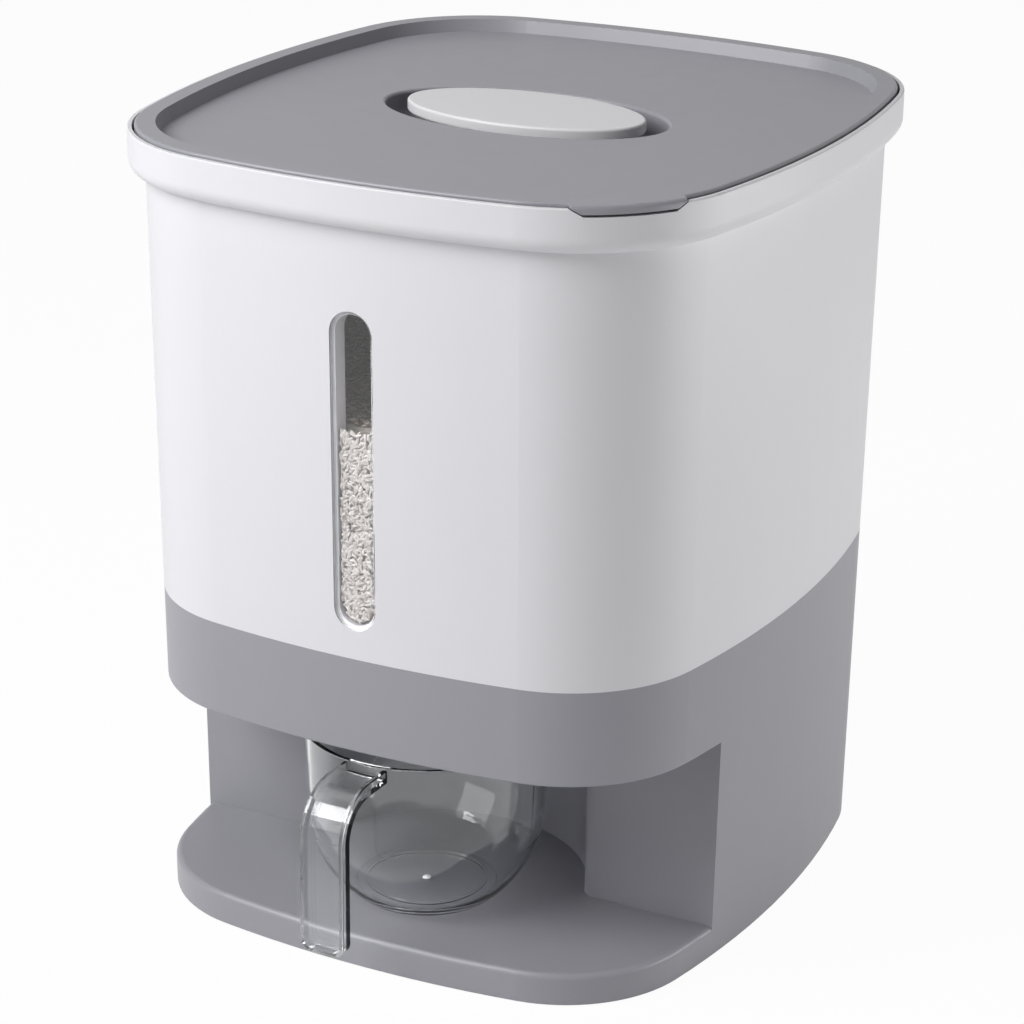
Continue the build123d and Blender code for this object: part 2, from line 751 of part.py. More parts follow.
def handle_side(depth):
    """Side view of the handle's strip, a depth thick behind its front face."""
    bend_y, bend_z = handle_bend_y, handle_bend_z
    root_y = cup_y - cup_waist_radius + cup_wall
    inner = handle_bend_radius - depth
    s = math.sin(math.radians(45))
    profile = [
        Line((root_y, handle_top_z), (bend_y, handle_top_z)),
        ThreePointArc((bend_y, handle_top_z),
                      (bend_y - handle_bend_radius * s, bend_z + handle_bend_radius * s),
                      (handle_front_y, bend_z)),
        Line((handle_front_y, bend_z), (handle_front_y, handle_bottom_z)),
        Line((handle_front_y, handle_bottom_z), (handle_front_y + depth, handle_bottom_z)),
        Line((handle_front_y + depth, handle_bottom_z), (handle_front_y + depth, bend_z)),
        ThreePointArc((handle_front_y + depth, bend_z),
                      (bend_y - inner * s, bend_z + inner * s),
                      (bend_y, handle_top_z - depth)),
        Line((bend_y, handle_top_z - depth), (root_y, handle_top_z - depth)),
        Line((root_y, handle_top_z - depth), (root_y, handle_top_z)),
    ]
    return Plane.YZ * make_face(profile)


def handle_front(grow, y0, y1):
    """Front view of the handle with its rounded lower corners, as a prism along Y."""
    half = handle_width / 2 + grow
    low, high = handle_bottom_z - grow, handle_top_z + overcut
    plane = Plane(origin=(0, y0, (low + high) / 2), x_dir=(1, 0, 0), z_dir=(0, 1, 0))
    view = plane * Rectangle(2 * half, high - low)
    solid = extrude(view, amount=y1 - y0, dir=(0, 1, 0))
    corners = solid.edges().filter_by(Axis.Y).group_by(Axis.Z)[0]
    return fillet(corners, handle_corner_radius + grow)


def on_handle_front(point):
    """Whether a point lies on the handle's front and top face, away from its root."""
    if point.Y > cup_y - cup_waist_radius:
        return False
    if point.Y > handle_bend_y:
        return abs(point.Z - handle_top_z) < 0.01
    if point.Z > handle_bend_z:
        reach = math.hypot(point.Y - handle_bend_y, point.Z - handle_bend_z)
        return abs(reach - handle_bend_radius) < 0.01
    return abs(point.Y - handle_front_y) < 0.01


def make_measuring_cup():
    reach = (handle_front_y - overcut, cup_y)
    strip = extrude(handle_side(handle_flange_depth), amount=handle_width, both=True)
    strip &= handle_front(0, *reach)
    rim_edges = [e for e in strip.edges() if on_handle_front(e @ 0.5) and on_handle_front(e @ 0.1)]
    strip = fillet(rim_edges, handle_edge_rounding)
    # The handle is a channel, open to the front and the top, with a flange all round it.
    channel = extrude(handle_side(handle_flange_depth - handle_web), amount=handle_width,
                      both=True)
    strip -= channel & handle_front(-handle_flange, *reach)
    cup = bowl(False) - bowl(True)
    cup = fillet(cup.edges().group_by(Axis.Z)[-1], cup_rim_rounding)
    cup += strip - bowl(False)
    ring_z = cup_floor_z + cup_wall
    ring = post(0, cup_y, ring_z, ring_z + foot_ring_height, foot_ring_radius + foot_ring_width / 2)
    ring -= post(0, cup_y, ring_z - overcut, ring_z + foot_ring_height + overcut,
                 foot_ring_radius - foot_ring_width / 2)
    return cup + ring


# ---------------------------------------------------------------- lid

def oval(half_length, half_depth, z):
    return Pos(0, 0, z) * Ellipse(half_length, half_depth)


def make_lid_panel():
    edge = rim_lip_wall + lid_gap
    slope_outer = edge + lid_band_width
    slope_inner = slope_outer + lid_slope_width
    lid = straight_block(edge, lid_skirt_bottom_z, lid_top_z)
    lid = fillet(lid.edges().group_by(Axis.Z)[-1], lid_edge_rounding)
    # Lift tab at the front right corner, flush with the rim's outer face.
    tab = tab_prism(0, lid_top_z) & straight_block(0, tab_bottom_z, lid_top_z)
    corner = (rim_half_width, -rim_half_depth, lid_top_z)
    front = tab.edges().group_by(Axis.Z)[-1].sort_by_distance(corner)[0]
    lid += fillet(front, tab_edge_rounding)
    # Sunk panel inside the raised band.
    lid -= loft([outline(slope_inner, lid_panel_z), outline(slope_outer, lid_top_z)], ruled=True)
    # Underside, with the skirt left standing.
    under_top = lid_panel_z - lid_thickness
    lid -= straight_block(edge + lid_skirt_wall, lid_skirt_bottom_z - overcut, under_top)
    band_under = straight_block(edge + lid_skirt_wall, under_top - overcut, lid_top_z - lid_thickness)
    band_under -= straight_block(slope_outer - lid_thickness, under_top - 2 * overcut, lid_top_z)
    lid -= band_under
    # Well under the grip.
    well_floor = lid_panel_z - well_depth
    well_outside = extrude(oval(well_half_length + lid_thickness, well_half_depth + lid_thickness,
                                well_floor - lid_thickness), amount=well_depth + lid_thickness / 2,
                           dir=(0, 0, 1))
    bottom = well_outside.edges().group_by(Axis.Z)[0]
    lid += fillet(bottom, well_floor_rounding + lid_thickness)
    well = extrude(oval(well_half_length, well_half_depth, well_floor), amount=well_depth + overcut,
                   dir=(0, 0, 1))
    bottom = well.edges().group_by(Axis.Z)[0]
    lid -= fillet(bottom, well_floor_rounding)
    mouth = [
        e for e in lid.edges().filter_by(Plane.XY)
        if abs(e.center().Z - lid_panel_z) < 0.01
        and (e @ 0.25).X ** 2 + (e @ 0.25).Y ** 2 < (well_half_length + lid_thickness) ** 2
    ]
    lid = fillet(mouth, well_edge_rounding)
    for sx in (-1, 1):
        lid -= post(sx * grip_screw_offset, 0, well_floor - lid_thickness - overcut, well_floor + overcut,
                    small_screw_radius + screw_hole_slack)
    return lid


def make_lid_seal():
    edge = rim_lip_wall + lid_gap
    seal = straight_block(edge, lid_seal_z, lid_skirt_bottom_z)
    seal -= straight_block(edge + lid_seal_width, lid_seal_z - overcut, lid_skirt_bottom_z + overcut)
    return seal


def make_lid_grip():
    well_floor = lid_panel_z - well_depth
    top = lid_panel_z + grip_proud
    plate = extrude(oval(grip_half_length, grip_half_depth, top - grip_thickness),
                    amount=grip_thickness, dir=(0, 0, 1))
    plate = fillet(plate.edges().group_by(Axis.Z)[-1], grip_rounding)
    plate = fillet(plate.edges().group_by(Axis.Z)[0], grip_rounding)
    stem = extrude(oval(grip_stem_half_length, grip_stem_half_depth, well_floor),
                   amount=top - grip_thickness / 2 - well_floor, dir=(0, 0, 1))
    grip = plate + stem
    for sx in (-1, 1):
        grip -= post(sx * grip_screw_offset, 0, well_floor - overcut, well_floor + grip_screw_depth + overcut,
                     small_screw_radius + screw_slack)
    return grip


def make_grip_screws():
    seat = lid_panel_z - well_depth - lid_thickness
    return [
        small_screw(sx * grip_screw_offset, 0, seat, lid_thickness + grip_screw_depth, 1)
        for sx in (-1, 1)
    ]


# ---------------------------------------------------------------- the parts

def save(name, shape):
    """Write one node: a solid, or a group of separate solids."""
    if isinstance(shape, list):
        shape = Compound(children=[s.solid() if hasattr(s, "solid") else s for s in shape])
    export_step(shape, f"parts/{name}.step")


def main():
    os.makedirs("parts", exist_ok=True)
    save("base_stand", make_base_stand())
    save("bottom_cover", make_bottom_cover())
    for (x, y), name in zip(foot_places(), ("front_left", "rear_left", "front_right", "rear_right")):
        save(f"foot_pad_{name}", make_foot(x, y))
    save("bottom_cover_screws", make_cover_screws())
    save("bin_shell", make_bin_shell())
    save("bin_screws", make_bin_screws())
    save("window_lens", make_window_lens())
    save("window_gasket", make_window_gasket())
    save("hopper_funnel", make_hopper_funnel())
    save("outlet_seal", make_outlet_seal())
    save("gate_guide", make_gate_guide())
    save("gate_cover", make_gate_cover())
    save("gate_screws", make_gate_screws())
    save("gate_plate", make_gate_plate())
    for sx, side in ((-1, "left"), (1, "right")):
        save(f"gate_pin_{side}", make_gate_pin(sx))
        save(f"gate_spring_{side}", make_gate_spring(sx))
    save("measuring_cup", make_measuring_cup())
    save("lid_panel", make_lid_panel())
    save("lid_seal", make_lid_seal())
    save("lid_grip", make_lid_grip())
    save("lid_grip_screws", make_grip_screws())


main()
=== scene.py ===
# %% [markdown]
# # Countertop rice dispenser
# A tapered white bin with a grey drop-in lid stands on a grey base. The base has an open recess
# at the front, where a clear measuring cup waits under the outlet.
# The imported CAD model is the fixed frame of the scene: every solid already sits in its place, so
# this script gives each one its finish, and adds what a solid can't hold well: the rice.

import json
import math
import random

import bmesh
import bpy
from mathutils import Matrix, Vector, noise


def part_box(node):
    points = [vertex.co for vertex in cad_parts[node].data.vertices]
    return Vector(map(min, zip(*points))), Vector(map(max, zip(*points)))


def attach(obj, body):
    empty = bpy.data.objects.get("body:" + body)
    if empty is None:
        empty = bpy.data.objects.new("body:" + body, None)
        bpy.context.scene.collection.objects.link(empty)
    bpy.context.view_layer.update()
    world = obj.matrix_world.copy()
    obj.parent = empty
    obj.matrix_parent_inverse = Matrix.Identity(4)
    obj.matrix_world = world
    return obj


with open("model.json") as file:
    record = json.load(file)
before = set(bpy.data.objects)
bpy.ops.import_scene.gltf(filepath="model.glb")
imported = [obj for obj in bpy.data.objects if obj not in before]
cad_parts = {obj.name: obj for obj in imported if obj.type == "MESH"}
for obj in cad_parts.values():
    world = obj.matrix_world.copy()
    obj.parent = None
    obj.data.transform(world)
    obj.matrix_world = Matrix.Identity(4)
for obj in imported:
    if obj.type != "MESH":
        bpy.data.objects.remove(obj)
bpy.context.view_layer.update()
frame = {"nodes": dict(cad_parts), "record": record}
nodes = frame["nodes"]


# %% [markdown]
# ## Camera
# The dispenser is seen from its front right, a little from above, through a long lens that keeps
# the sides almost parallel. A camera in Blender looks along its own -Z with +Y up, so its matrix
# is built from three directions: right, up and back. Building it from angles keeps the view easy
# to read and to change.

# %% Camera
EYE = Vector((0.55254, -1.05590, 0.58744))
YAW, PITCH, ROLL = -0.4851, 0.3599, -0.010
SENSOR_WIDTH = 36.0
FOCAL_LENGTH = 116.18

forward = Vector((math.sin(YAW) * math.cos(PITCH), math.cos(YAW) * math.cos(PITCH), -math.sin(PITCH)))
level_right = Vector((math.cos(YAW), -math.sin(YAW), 0.0))
level_down = forward.cross(level_right)
camera_right = level_right * math.cos(ROLL) + level_down * math.sin(ROLL)
camera_up = level_right * math.sin(ROLL) - level_down * math.cos(ROLL)

camera_data = bpy.data.cameras.new("camera")
camera_data.sensor_width = SENSOR_WIDTH
camera_data.lens = FOCAL_LENGTH
camera_data.clip_start = 0.05
camera = bpy.data.objects.new("camera", camera_data)
turn_to_view = Matrix((camera_right, camera_up, -forward)).transposed().to_4x4()
camera.matrix_world = Matrix.Translation(EYE) @ turn_to_view
bpy.context.scene.collection.objects.link(camera)
bpy.context.scene.camera = camera
print("camera looks along", [round(v, 3) for v in forward])

# %% [markdown]
# ## Light
# Satin plastic shows its form by a slow change from bright to dim, which large soft lamps give
# and small ones don't. Two softboxes stand at the left front, and a third one high at the back
# lights the lid from above. A low card close by on the right lifts the side wall without
# reaching the lid's inner edge. The rounded corner between front and side turns to neither, so it
# stays dimmer and draws the edge of the form. Each lamp is placed by its direction from the
# object, which is easier to imagine than a point: an azimuth from +X and an elevation above the
# floor, then a distance, a width, a height and a power.

# %% Lamps
AIM = Vector((0.0, 0.0, 0.15))
SOFT_LAMPS = {
    "lamp_left_high": (-125.0, 42.0, 1.5, 0.8, 0.8, 18.6),
    "lamp_front": (-118.0, 20.0, 1.5, 1.0, 1.0, 5.1),
    "lamp_back": (110.0, 65.0, 1.6, 1.0, 1.0, 3.0),
    "card_right": (20.0, -0.7, 0.9, 0.9, 0.26, 3.9),
}


def add_lamp(name, azimuth, elevation, distance, width, height, power):
    """A soft rectangular lamp that faces the object, placed by its direction."""
    turn, rise = math.radians(azimuth), math.radians(elevation)
    away = Vector((math.cos(turn) * math.cos(rise), math.sin(turn) * math.cos(rise), math.sin(rise)))
    data = bpy.data.lights.new(name, "AREA")
    data.shape = "RECTANGLE"
    data.size = width
    data.size_y = height
    data.energy = power
    lamp = bpy.data.objects.new(name, data)
    lamp.location = AIM + away * distance
    lamp.rotation_euler = (-away).to_track_quat("-Z", "Y").to_euler()
    lamp.visible_camera = False
    bpy.context.scene.collection.objects.link(lamp)


for lamp_name, settings in SOFT_LAMPS.items():
    add_lamp(lamp_name, *settings)
bpy.context.scene.view_settings.view_transform = "Standard"
print("lamps:", ", ".join(SOFT_LAMPS))

# %% [markdown]
# ## Writing materials
# A material is a chain of nodes. Two small classes make that chain read like arithmetic: a
# Signal is one value that flows between nodes, and adding or multiplying Signals adds Math
# nodes. A Recipe holds one material and makes every other node with a single method, which sets
# a node's options first and its inputs after.

# %% Signal and Recipe
class Signal:
    """One output of a node, which can be used in sums."""

    def __init__(self, recipe, socket):
        self.recipe = recipe
        self.socket = socket

    def maths(self, operation, first, second):
        return self.recipe.node("ShaderNodeMath", {"operation": operation}, {0: first, 1: second})

    def __add__(self, other):
        return self.maths("ADD", self, other)

    def __sub__(self, other):
        return self.maths("SUBTRACT", self, other)

    def __rsub__(self, other):
        return self.maths("SUBTRACT", other, self)

    def __mul__(self, other):
        return self.maths("MULTIPLY", self, other)

    def at_least(self, other):
        return self.maths("MAXIMUM", self, other)

    __radd__ = __add__
    __rmul__ = __mul__


class Recipe:
    """One node tree, of a material or of the world, and the ways to add to it."""

    def __init__(self, owner):
        self.owner = owner
        owner.use_nodes = True
        self.tree = owner.node_tree
        self.tree.nodes.clear()

    def node(self, kind, settings=None, inputs=None, output=0):
        """Add a node: its options are set first, then each input's value or link."""
        node = self.tree.nodes.new(kind)
        for option, value in (settings or {}).items():
            setattr(node, option, value)
        for key, value in (inputs or {}).items():
            if isinstance(value, Signal):
                self.tree.links.new(value.socket, node.inputs[key])
            else:
                node.inputs[key].default_value = value
        return Signal(self, node.outputs[output]) if node.outputs else node

    def place(self, stretch=(1.0, 1.0, 1.0)):
        """Where a point lies on the object, in metres, optionally stretched."""
        coordinates = self.node("ShaderNodeTexCoord", output="Object")
        if stretch == (1.0, 1.0, 1.0):
            return coordinates
        return self.node("ShaderNodeMapping", {}, {"Vector": coordinates, "Scale": stretch})

    def cloud(self, scale, detail=2.0, place=None):
        """Soft noise between 0 and 1, with about `scale` patches to the metre."""
        return self.node("ShaderNodeTexNoise", {"noise_dimensions": "3D"},
                         {"Vector": place or self.place(), "Scale": scale, "Detail": detail})

    def shaded(self, colour, shade):
        """A colour made lighter or darker by a Signal around 1."""
        return self.node("ShaderNodeVectorMath", {"operation": "SCALE"},
                         {0: colour[:3], "Scale": shade})

    def blended(self, factor, first, second):
        """A colour between two others."""
        return self.node("ShaderNodeMix", {"data_type": "RGBA"},
                         {0: factor, 6: first, 7: second}, output=2)

    def bump(self, height, distance, strength=1.0):
        """Small relief on the surface, `distance` metres high."""
        return self.node("ShaderNodeBump", {},
                         {"Height": height, "Distance": distance, "Strength": strength})

    def surface(self, **inputs):
        """The physical surface shader, by its input names written with underscores."""
        named = {key.replace("_", " "): value for key, value in inputs.items()}
        return self.node("ShaderNodeBsdfPrincipled", {}, named)

    def finish(self, shader, kind="ShaderNodeOutputMaterial"):
        self.node(kind, {}, {"Surface": shader})
        return self.owner


def new_recipe(name):
    return Recipe(bpy.data.materials.new(name))


print("material helpers ready")

# %% [markdown]
# ## Floor and background
# The floor is a pale sheet that keeps the object's shadow. What the camera sees directly is
# lifted to white with the Light Path node, and rays that have passed through the clear cup see
# the same white. Rays that a surface mirrors see it a little dimmer, as a studio's far side is.
# No lamp has to be brighter for that.

# %% World and floor
FLOOR_REACH = 6.0
FLOOR_LIFT = 0.96
FLOOR_COLOUR = (0.78, 0.78, 0.78, 1.0)
FLOOR_ROUGHNESS = 0.9
ROOM_LIGHT = 0.12
MIRRORED_SHARE = 0.55
WHITE = (1.0, 1.0, 1.0, 1.0)


def rays_that_look(recipe):
    """1 for rays that go to the camera directly or through glass, less for mirrored ones."""
    camera_ray = recipe.node("ShaderNodeLightPath", output="Is Camera Ray")
    glossy_ray = recipe.node("ShaderNodeLightPath", output="Is Glossy Ray")
    through_ray = recipe.node("ShaderNodeLightPath", output="Is Transmission Ray")
    return camera_ray.at_least(through_ray).at_least(glossy_ray * MIRRORED_SHARE)


world = bpy.data.worlds.new("studio")
bpy.context.scene.world = world
studio = Recipe(world)
room = studio.node("ShaderNodeBackground", {}, {"Color": WHITE, "Strength": ROOM_LIGHT})
white = studio.node("ShaderNodeBackground", {}, {"Color": WHITE, "Strength": 1.0})
studio.finish(studio.node("ShaderNodeMixShader", {}, {0: rays_that_look(studio), 1: room, 2: white}),
              "ShaderNodeOutputWorld")

pale_floor = new_recipe("pale_floor")
sheet = pale_floor.surface(Base_Color=FLOOR_COLOUR, Roughness=FLOOR_ROUGHNESS)
lift = pale_floor.node("ShaderNodeEmission", {}, {"Color": WHITE, "Strength": 1.0})
pale_floor.finish(pale_floor.node(
    "ShaderNodeMixShader", {}, {0: rays_that_look(pale_floor) * FLOOR_LIFT, 1: sheet, 2: lift}))

floor_mesh = bpy.data.meshes.new("floor")
bm = bmesh.new()
bmesh.ops.create_grid(bm, x_segments=2, y_segments=2, size=FLOOR_REACH)
bm.to_mesh(floor_mesh)
bm.free()
floor = bpy.data.objects.new("floor", floor_mesh)
floor_mesh.materials.append(pale_floor.owner)
bpy.context.scene.collection.objects.link(floor)
print("floor reaches", FLOOR_REACH, "m each way")

# %% [markdown]
# ## Moulded plastic
# The bin, base, lid and grip are moulded in tools with a fine spark-eroded skin. That skin is a
# very shallow, very fine relief, which spreads highlights. On top come a slow drift of the
# pigment and a few places that hands have polished or scuffed, so the finish isn't one flat
# colour. The same recipe serves every opaque plastic with its own colour and gloss.

# %% Satin plastic
SKIN_GRAIN = 2300.0
SKIN_PATCHES = 9.0
SKIN_STRENGTH = 0.6
RUB_SCALE, RUB_STRETCH = 6.0, (14.0, 14.0, 3.0)
PATCH_GLOSS, RUB_GLOSS = 0.06, 0.08


def satin_plastic(name, colour, roughness, skin_depth=0.00002, drift=0.03):
    """Opaque moulded plastic with a fine mould skin."""
    recipe = new_recipe(name)
    skin = recipe.cloud(SKIN_GRAIN, 1.0)
    patches = recipe.cloud(SKIN_PATCHES, 3.0)
    rubs = recipe.cloud(RUB_SCALE, 4.0, recipe.place(RUB_STRETCH))
    shade = 1.0 + (patches - 0.5) * drift + (skin - 0.5) * drift
    shine = (patches - 0.5) * PATCH_GLOSS + (rubs - 0.5) * RUB_GLOSS + roughness
    return recipe.finish(recipe.surface(
        Base_Color=recipe.shaded(colour, shade), Roughness=shine,
        Normal=recipe.bump(skin, skin_depth, SKIN_STRENGTH)))


white_plastic = satin_plastic("white_plastic", (0.68, 0.675, 0.705), 0.42)
grey_plastic = satin_plastic("grey_plastic", (0.290, 0.288, 0.318), 0.36, drift=0.05)
grip_plastic = satin_plastic("grip_plastic", (0.70, 0.695, 0.715), 0.40)
# The liner's dark, brownish tone is painted shade: it stands for the dim inside of the closed bin.
liner_plastic = satin_plastic("liner_plastic", (0.40, 0.35, 0.33), 0.38)
dark_plastic = satin_plastic("dark_plastic", (0.030, 0.030, 0.033), 0.40, drift=0.12)
print("plastics:", white_plastic.name, grey_plastic.name, grip_plastic.name, liner_plastic.name,
      dark_plastic.name)

# %% [markdown]
# ## Clear plastic
# The cup and the window are polished clear plastic. Glass in Blender bends light, but lamps
# can't find their way through it in few samples, so a Light Path switch shows lamp rays a plain
# see-through surface instead. Real mouldings are never perfectly smooth: a slow flow wave bends
# the reflections a little, and fine handling marks change the gloss.

# %% Clear plastic
FLOW_SCALE, MARK_SCALE = 38.0, 420.0
MARK_GLOSS, POLISHED = 0.10, 0.012


def clear_plastic_finish(name, tint, bend, wave_depth, lamp_share):
    """Clear moulded plastic that lets a share of the lamps' light through each of its faces."""
    recipe = new_recipe(name)
    flow = recipe.cloud(FLOW_SCALE, 1.0)
    marks = recipe.cloud(MARK_SCALE, 3.0)
    glass = recipe.surface(
        Base_Color=tint + (1.0,), Roughness=(marks - 0.5).at_least(0.0) * MARK_GLOSS + POLISHED,
        Transmission_Weight=1.0, IOR=bend, Normal=recipe.bump(flow, wave_depth))
    passed = (lamp_share, lamp_share, lamp_share, 1.0)
    open_way = recipe.node("ShaderNodeBsdfTransparent", {}, {"Color": passed})
    lamp_ray = recipe.node("ShaderNodeLightPath", output="Is Shadow Ray")
    return recipe.finish(recipe.node("ShaderNodeMixShader", {}, {0: lamp_ray, 1: glass, 2: open_way}))


def frosted_plastic(name):
    """Clear plastic with a broken, whitish skin."""
    recipe = new_recipe(name)
    grain = recipe.cloud(2600.0, 2.0)
    return recipe.finish(recipe.surface(
        Base_Color=recipe.shaded((0.86, 0.87, 0.89), 0.9 + grain * 0.2), Roughness=grain * 0.2 + 0.2,
        Normal=recipe.bump(grain, 0.00002)))


cup_plastic = clear_plastic_finish("clear_cup_plastic", (0.975, 0.985, 0.99), 1.50, 0.0002, 0.78)
window_plastic = clear_plastic_finish("clear_window_plastic", (0.965, 0.96, 0.955), 1.49, 0.0001, 0.95)
# The frosted finish is a real gate mark's, and its pale tone also serves as a painted highlight on the
# cup's moulding point.
frosted_glint_plastic = frosted_plastic("frosted_glint_plastic")
print("clear plastics:", cup_plastic.name, window_plastic.name, frosted_glint_plastic.name)

# %% [markdown]
# ## Rubber and steel
# The feet are matt rubber, the seals soft translucent silicone, and the screws, pins and springs
# are zinc-plated steel. Their finishes differ mostly in gloss: rubber scatters, silicone has a
# faint sheen, and plated steel is a mirror that fine drawing lines have blurred.

# %% Rubber, silicone and steel
def soft_rubber(name, colour, roughness, scatter):
    """Matt rubber with a dusty bloom in patches."""
    recipe = new_recipe(name)
    bloom = recipe.cloud(160.0, 3.0)
    grit = recipe.cloud(3000.0, 1.0)
    return recipe.finish(recipe.surface(
        Base_Color=recipe.shaded(colour, 1.0 + (bloom - 0.5) * 0.25),
        Roughness=(bloom - 0.5) * 0.15 + roughness,
        Subsurface_Weight=scatter, Subsurface_Scale=0.001,
        Normal=recipe.bump(grit, 0.00003, 0.5)))


def plated_steel(name):
    """Zinc-plated steel with fine lines along its length."""
    recipe = new_recipe(name)
    lines = recipe.cloud(900.0, 2.0, recipe.place((1.0, 1.0, 0.08)))
    patches = recipe.cloud(240.0, 2.0)
    return recipe.finish(recipe.surface(
        Base_Color=recipe.shaded((0.60, 0.60, 0.59), 1.0 + (patches - 0.5) * 0.2),
        Metallic=1.0, Roughness=(lines - 0.5) * 0.25 + 0.32,
        Normal=recipe.bump(lines, 0.00001, 0.5)))


foot_rubber = soft_rubber("foot_rubber", (0.022, 0.022, 0.023), 0.78, 0.0)
silicone = soft_rubber("silicone", (0.62, 0.62, 0.61), 0.50, 0.2)
white_silicone = soft_rubber("white_silicone", (0.74, 0.74, 0.79), 0.50, 0.2)
steel = plated_steel("steel")
print("others:", foot_rubber.name, silicone.name, white_silicone.name, steel.name)

# %% [markdown]
# ## Give every solid its finish
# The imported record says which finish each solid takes, by the name of its material slot. The
# mesh of a solid is never touched: only the material in its slot changes. The clear slot stands
# for two slightly different plastics, so the window gets its own, and the seal that shows through
# the window is a paler silicone than the hidden ones.

# %% Assign the finishes
FINISHES = {
    "white_plastic": white_plastic, "grey_plastic": grey_plastic, "grip_plastic": grip_plastic,
    "liner_plastic": liner_plastic, "dark_plastic": dark_plastic, "clear_plastic": cup_plastic,
    "silicone": silicone, "foot_rubber": foot_rubber, "steel": steel,
}


def dress(solid, material):
    """Put one material on all of a solid."""
    if not solid.data.materials:
        solid.data.materials.append(material)
    for slot in solid.material_slots:
        slot.material = material


for part in frame["record"]["subparts"]:
    dress(nodes[part["node"]], FINISHES[part["material_slot"]])
dress(nodes["window_lens"], window_plastic)
dress(nodes["window_gasket"], white_silicone)

# %% [markdown]
# ## Shapes from bmesh
# New pieces are built in a bmesh, then turned into an object at the origin that rides on a body
# of the frame. One helper does the last step for all of them.

# %% Turn a bmesh into a piece
def only_verts(geometry):
    """The points among what an operator returned."""
    return [item for item in geometry if isinstance(item, bmesh.types.BMVert)]


def make_piece(name, bm, material, body, smooth=True):
    """Turn a bmesh into an object, give it a finish, and let it ride on a body."""
    mesh = bpy.data.meshes.new(name)
    bm.to_mesh(mesh)
    bm.free()
    mesh.materials.append(material)
    if smooth:
        mesh.shade_smooth()
    piece = bpy.data.objects.new(name, mesh)
    bpy.context.scene.collection.objects.link(piece)
    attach(piece, body)
    print(name, len(mesh.polygons), "faces")
    return piece


# %% [markdown]
# ## The rice
# Rice fills the hopper from the closed gate up to about two thirds of the window. Its body is one
# closed form that follows the hopper's four slopes and the bin's rounded outline: a ring of
# points is extruded upwards, and each ring is drawn to the room that the hopper leaves at its
# height. Real grains lie on its top and against the window, where they can be seen.

# %% Room inside the hopper
RICE_TOP = 0.2085
GATE_TOP = 0.0990
THROAT_Z = 0.1130
THROAT_HALF_X = 0.0215
THROAT_FRONT_Y, THROAT_BACK_Y = -0.0795, -0.0685
SIDE_SLOPE, BACK_SLOPE, FRONT_SLOPE = (math.tan(math.radians(a)) for a in (38.0, 24.0, 20.0))
BIN_HALF_X, BIN_HALF_Y, BIN_SQUARENESS = 0.1085, 0.1160, 3.6
OUTLET = Vector((0.0, -0.0740, 0.0))
LONGEST_REACH, SEARCH_STEPS = 0.3, 18


def room_at(angle, z):
    """How far the hopper's walls are from the outlet's axis, along an angle, at a height."""
    rise = max(0.0, z - THROAT_Z)
    limit_x = THROAT_HALF_X + rise / SIDE_SLOPE
    limit_back = THROAT_BACK_Y + rise / BACK_SLOPE
    limit_front = THROAT_FRONT_Y - rise / FRONT_SLOPE
    dx, dy = math.cos(angle), math.sin(angle)

    def inside(reach):
        x, y = OUTLET.x + reach * dx, OUTLET.y + reach * dy
        round_form = abs(x / BIN_HALF_X) ** BIN_SQUARENESS + abs(y / BIN_HALF_Y) ** BIN_SQUARENESS
        return abs(x) < limit_x and limit_front < y < limit_back and round_form < 1.0

    # Each step halves the span in which the wall is, down to about a micrometre.
    low, high = 0.0, LONGEST_REACH
    for _ in range(SEARCH_STEPS):
        middle = (low + high) / 2
        low, high = (middle, high) if inside(middle) else (low, middle)
    return low


print("room at the rice's level:", round(room_at(0.0, RICE_TOP), 4), "m to the right")

# %% Rice body
HEAP_SCALE, HEAP_HEIGHT = 16.0, 0.0022
RIPPLE_SCALE, RIPPLE_HEIGHT = 90.0, 0.0007
RING_POINTS = 96
SHOULDER = 0.0025
RING_HEIGHTS = [GATE_TOP, 0.106, 0.113, 0.118, 0.125, 0.133, 0.142, 0.152, 0.163, 0.175, 0.188,
                0.199, RICE_TOP - SHOULDER]
TOP_SHARES = [0.985, 0.95, 0.88, 0.78, 0.66, 0.52, 0.38, 0.24, 0.12]


def rice_level(x, y):
    """Height of the poured surface, with slow heaps and hollows."""
    heap = noise.noise(Vector((x * HEAP_SCALE, y * HEAP_SCALE, 0.3))) * HEAP_HEIGHT
    ripple = noise.noise(Vector((x * RIPPLE_SCALE, y * RIPPLE_SCALE, 2.1))) * RIPPLE_HEIGHT
    return RICE_TOP + heap + ripple


def shape_ring(ring, z, share, follow_top):
    """Move a ring of points to the hopper's room at a height."""
    for index, vert in enumerate(ring):
        angle = 2 * math.pi * index / RING_POINTS
        reach = room_at(angle, z) * share
        x, y = OUTLET.x + reach * math.cos(angle), OUTLET.y + reach * math.sin(angle)
        vert.co = (x, y, rice_level(x, y) if follow_top else z)


bm = bmesh.new()
bmesh.ops.create_circle(bm, cap_ends=False, segments=RING_POINTS, radius=0.01)
ring = list(bm.verts)
shape_ring(ring, RING_HEIGHTS[0], 1.0, False)
bmesh.ops.contextual_create(bm, geom=ring)
edges = bm.edges[:]
steps = [(z, 1.0, False) for z in RING_HEIGHTS[1:]] + [(RICE_TOP, s, True) for s in TOP_SHARES]
for z, share, follow_top in steps:
    grown = bmesh.ops.extrude_edge_only(bm, edges=edges)["geom"]
    new_verts = set(only_verts(grown))
    # Each new point is found along the edge that joins it to the point it grew from.
    ring = [next(e.other_vert(v) for e in v.link_edges if e.other_vert(v) in new_verts) for v in ring]
    edges = [e for e in grown if isinstance(e, bmesh.types.BMEdge) and new_verts.issuperset(e.verts)]
    shape_ring(ring, z, share, follow_top)
bmesh.ops.contextual_create(bm, geom=ring)
bmesh.ops.recalc_face_normals(bm, faces=bm.faces)


